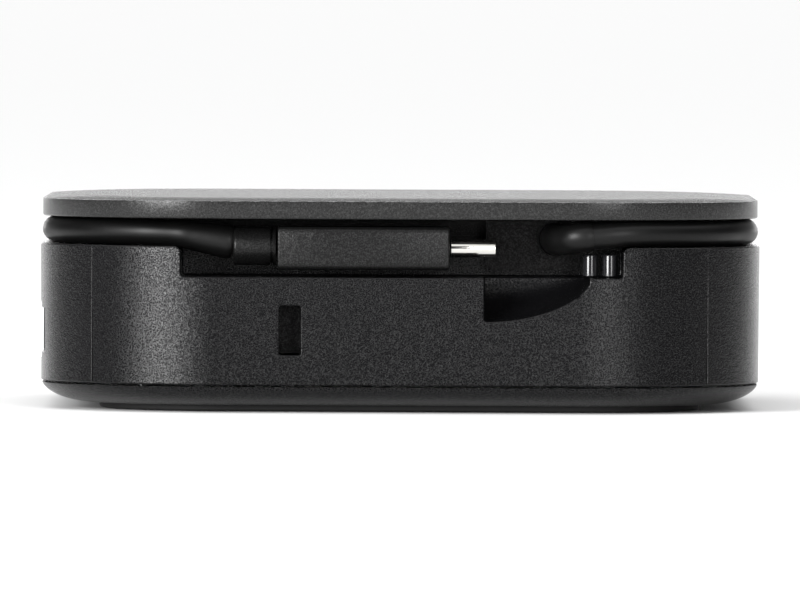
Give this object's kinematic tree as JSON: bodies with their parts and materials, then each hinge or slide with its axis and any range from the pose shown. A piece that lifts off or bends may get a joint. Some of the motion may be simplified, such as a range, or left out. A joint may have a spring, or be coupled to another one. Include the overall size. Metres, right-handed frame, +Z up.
{
  "type": "travel docking station",
  "caption": "Low rounded-square USB-C docking box whose lead is wound round a groove under the lid, with its plug stowed in a front pocket.",
  "frame": {"origin": "centre of the footprint, on the surface that the foot pad stands on", "axes": "+Z up through the lid, -Y the front with the plug pocket and lock slot, +X to the right seen from the front"},
  "size_m": [0.102, 0.102, 0.03],
  "materials": {
    "body_plastic": "black spark-eroded moulded surface",
    "rubber_pad": "matt",
    "lead_jacket": "satin black thermoplastic jacket",
    "plug_plastic": "fine moulded grain",
    "port_metal": "bright nickel plate",
    "insulator": "plain",
    "vga_blue": "plain",
    "steel": "zinc plated",
    "gloss_pin": "polished",
    "circuit_board": "solder mask over fibreglass",
    "chip_epoxy": "moulded epoxy",
    "aluminium_part": "plain",
    "thermal_silicone": "matt"
  },
  "bodies": {
    "dock": {"lid_cover": "body_plastic", "main_housing": "body_plastic", "bottom_cover": "body_plastic", "cable_spool": "body_plastic", "foot_pad": "rubber_pad", "cable_boot": "lead_jacket", "cable_wrap": "lead_jacket", "inner_lead": "lead_jacket", "usb_a_port_1": "port_metal", "usb_a_port_2": "port_metal", "hdmi_port": "port_metal", "vga_port": "port_metal", "ethernet_port": "port_metal", "usb_c_port": "port_metal", "usb_a_tongue_1": "insulator", "usb_a_tongue_2": "insulator", "hdmi_tongue": "insulator", "usb_c_tongue": "insulator", "lead_header": "insulator", "vga_insert": "vga_blue", "lock_plate": "steel", "vga_jack_1": "steel", "vga_jack_2": "steel", "cover_screw_1": "steel", "cover_screw_2": "steel", "cover_screw_3": "steel", "cover_screw_4": "steel", "spool_screw_1": "steel", "spool_screw_2": "steel", "spool_screw_3": "steel", "spool_screw_4": "steel", "crystal": "steel", "guide_pin_1": "gloss_pin", "guide_pin_2": "gloss_pin", "main_board": "circuit_board", "hub_chip": "chip_epoxy", "video_chip": "chip_epoxy", "ethernet_chip": "chip_epoxy", "power_chip": "chip_epoxy", "inductor_1": "chip_epoxy", "inductor_2": "chip_epoxy", "heat_spreader": "aluminium_part", "capacitor_1": "aluminium_part", "capacitor_2": "aluminium_part", "capacitor_3": "aluminium_part", "thermal_pad": "thermal_silicone"},
    "plug": {"cable_free_end": "lead_jacket", "plug_neck": "lead_jacket", "plug_sleeve": "plug_plastic", "plug_overmould": "plug_plastic", "plug_shell": "port_metal", "plug_tongue": "insulator"}
  },
  "joints": [
    {"name": "plug_swing", "type": "hinge", "parent": "dock", "child": "plug", "pos_m": [-0.0293, -0.0445, 0.02485], "axis": [0, 0, -1], "range_deg": [0, 65]}
  ]
}
